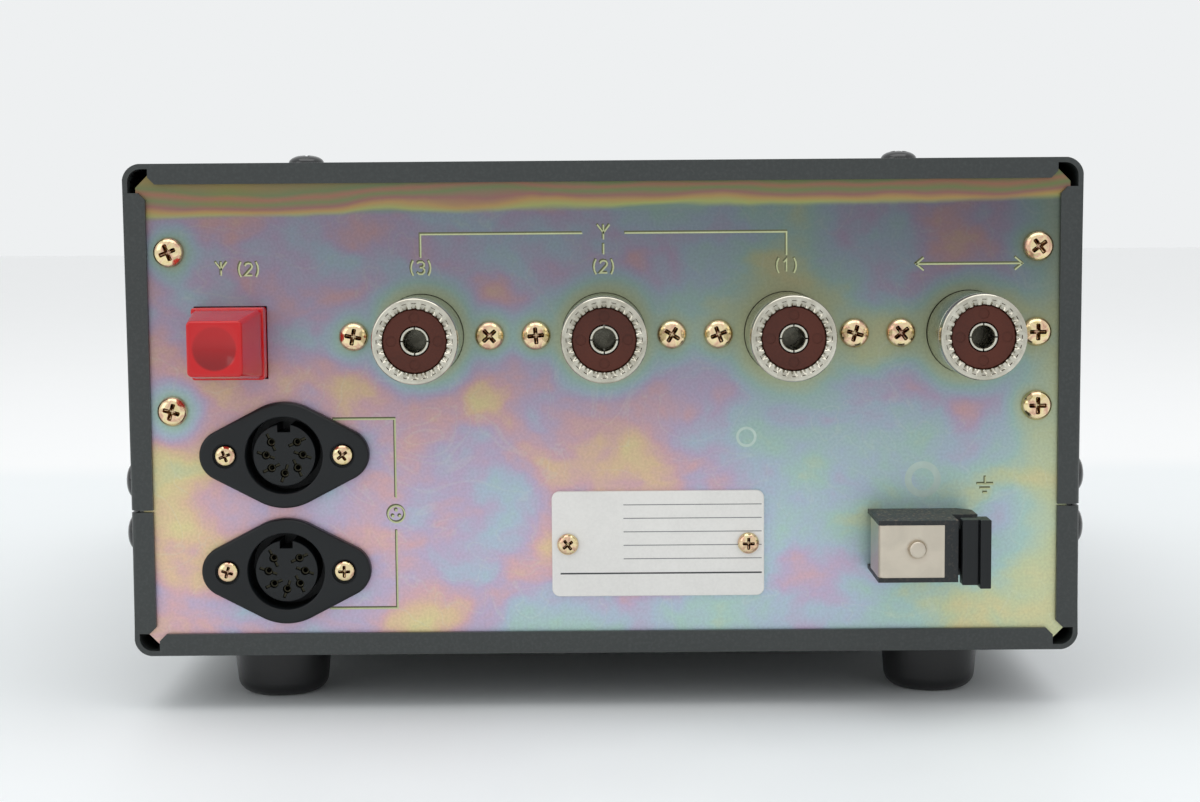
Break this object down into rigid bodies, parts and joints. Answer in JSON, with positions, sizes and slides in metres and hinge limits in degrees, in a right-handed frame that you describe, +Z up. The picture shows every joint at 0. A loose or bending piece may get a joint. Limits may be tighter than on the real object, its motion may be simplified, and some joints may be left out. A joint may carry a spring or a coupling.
{
  "type": "antenna tuner",
  "caption": "Low steel-cased automatic antenna tuner with coaxial sockets, round accessory sockets, a ground clamp and a push button on its rear panel.",
  "frame": {"origin": "on the surface that the feet stand on, at the middle of the whole object", "axes": "+Z up, +Y out of the rear panel with the sockets, -Y out of the control panel"},
  "size_m": [0.1848, 0.273, 0.1069],
  "materials": {
    "cover_paint": "fine textured dark grey paint",
    "chromated_steel": "iridescent yellow chromate",
    "plated_steel": "zinc plated",
    "black_screw": "black",
    "gold_screw": "yellow chromate",
    "foot_rubber": "satin",
    "nickel": "bright nickel",
    "insulator": "moulded phenolic",
    "contact_metal": "silver plated",
    "black_plastic": "moulded",
    "nameplate_white": "printed white",
    "red_plastic": "glossy red",
    "switch_plastic": "moulded",
    "terminal_nickel": "satin nickel",
    "front_plastic": "fine textured",
    "button_plastic": "moulded",
    "lens": "tinted clear",
    "dial_card": "printed card",
    "meter_glass": "clear acrylic",
    "needle_red": "painted",
    "shaft_steel": "ground",
    "board": "fibreglass laminate",
    "relay_plastic": "moulded",
    "coil_wire": "bare wire",
    "former_plastic": "moulded",
    "capacitor_metal": "sheet",
    "gear_nylon": "nylon",
    "pinion_brass": "cut brass",
    "motor_steel": "drawn can"
  },
  "bodies": {
    "tuner_case": {"top_cover": "cover_paint", "bottom_cover": "cover_paint", "rear_panel": "chromated_steel", "front_subpanel": "plated_steel", "left_side_frame": "plated_steel", "right_side_frame": "plated_steel", "chassis_deck": "plated_steel", "top_cover_screws": "black_screw", "side_cover_screws": "black_screw", "rear_panel_screws": "gold_screw", "frame_screws": "gold_screw", "foot_screws": "gold_screw", "socket_screws": "gold_screw", "accessory_socket_screws": "gold_screw", "nameplate_screws": "gold_screw", "rubber_feet": "foot_rubber", "radio_socket_shell": "nickel", "antenna_1_socket_shell": "nickel", "antenna_2_socket_shell": "nickel", "antenna_3_socket_shell": "nickel", "socket_insulators": "insulator", "socket_contacts": "contact_metal", "upper_accessory_contacts": "contact_metal", "lower_accessory_contacts": "contact_metal", "upper_accessory_socket": "black_plastic", "lower_accessory_socket": "black_plastic", "ground_terminal_body": "black_plastic", "nameplate": "nameplate_white", "bypass_switch": "switch_plastic", "front_switches": "switch_plastic", "selector_switch": "switch_plastic", "meter_case": "switch_plastic", "ground_terminal_plate": "terminal_nickel", "ground_terminal_stud": "terminal_nickel", "front_panel": "front_plastic", "indicator_lenses": "lens", "meter_dial": "dial_card", "meter_window": "meter_glass", "main_circuit_board": "board", "antenna_relays": "relay_plastic", "tuning_coil": "coil_wire", "coil_former": "former_plastic", "input_capacitor_stator": "capacitor_metal", "output_capacitor_stator": "capacitor_metal", "input_capacitor_motor": "motor_steel", "output_capacitor_motor": "motor_steel"},
    "bypass_button": {"bypass_button": "red_plastic"},
    "ground_lever": {"ground_lever": "black_plastic"},
    "meter_needle": {"meter_needle": "needle_red"},
    "power_button": {"power_button": "button_plastic"},
    "tune_button": {"tune_button": "button_plastic"},
    "selector": {"selector_knob": "front_plastic", "selector_shaft": "shaft_steel"},
    "input_rotor": {"input_capacitor_rotor": "capacitor_metal", "input_capacitor_gear": "gear_nylon"},
    "input_pinion": {"input_capacitor_pinion": "pinion_brass"},
    "output_rotor": {"output_capacitor_rotor": "capacitor_metal", "output_capacitor_gear": "gear_nylon"},
    "output_pinion": {"output_capacitor_pinion": "pinion_brass"}
  },
  "joints": [
    {"name": "bypass_button_slide", "type": "slide", "parent": "tuner_case", "child": "bypass_button", "axis": [0, -1, 0], "range_m": [0, 0.003], "stiffness_N_per_m": 300},
    {"name": "ground_lever_hinge", "type": "hinge", "parent": "tuner_case", "child": "ground_lever", "pos_m": [-0.0555, 0.1295, 0.03265], "axis": [0, 0, 1], "range_deg": [0, 12], "stiffness_Nm_per_rad": 0.02},
    {"name": "meter_needle_hinge", "type": "hinge", "parent": "tuner_case", "child": "meter_needle", "pos_m": [-0.046, -0.105, 0.058], "axis": [0, 1, 0], "range_deg": [0, 100], "stiffness_Nm_per_rad": 0.0001},
    {"name": "power_button_slide", "type": "slide", "parent": "tuner_case", "child": "power_button", "axis": [0, 1, 0], "range_m": [0, 0.0025], "stiffness_N_per_m": 300},
    {"name": "tune_button_slide", "type": "slide", "parent": "tuner_case", "child": "tune_button", "axis": [0, 1, 0], "range_m": [0, 0.0025], "stiffness_N_per_m": 300},
    {"name": "selector_turn", "type": "hinge", "parent": "tuner_case", "child": "selector", "pos_m": [0.05, -0.12, 0.061], "axis": [0, 1, 0], "range_deg": [0, 90]},
    {"name": "input_rotor_turn", "type": "hinge", "parent": "tuner_case", "child": "input_rotor", "pos_m": [-0.045, -0.034, 0.0682], "axis": [0, 1, 0], "range_deg": [0, 180]},
    {"name": "input_pinion_turn", "type": "hinge", "parent": "tuner_case", "child": "input_pinion", "pos_m": [-0.075, -0.034, 0.0682], "axis": [0, 1, 0], "range_deg": [-570.5, 0.5]},
    {"name": "output_rotor_turn", "type": "hinge", "parent": "tuner_case", "child": "output_rotor", "pos_m": [0.045, -0.034, 0.0682], "axis": [0, 1, 0], "range_deg": [0, 180]},
    {"name": "output_pinion_turn", "type": "hinge", "parent": "tuner_case", "child": "output_pinion", "pos_m": [0.075, -0.034, 0.0682], "axis": [0, 1, 0], "range_deg": [-570.5, 0.5]}
  ],
  "couplings": [
    {"joint": "input_pinion_turn", "follows": "input_rotor_turn", "ratio": -3.1667},
    {"joint": "output_pinion_turn", "follows": "output_rotor_turn", "ratio": -3.1667}
  ]
}
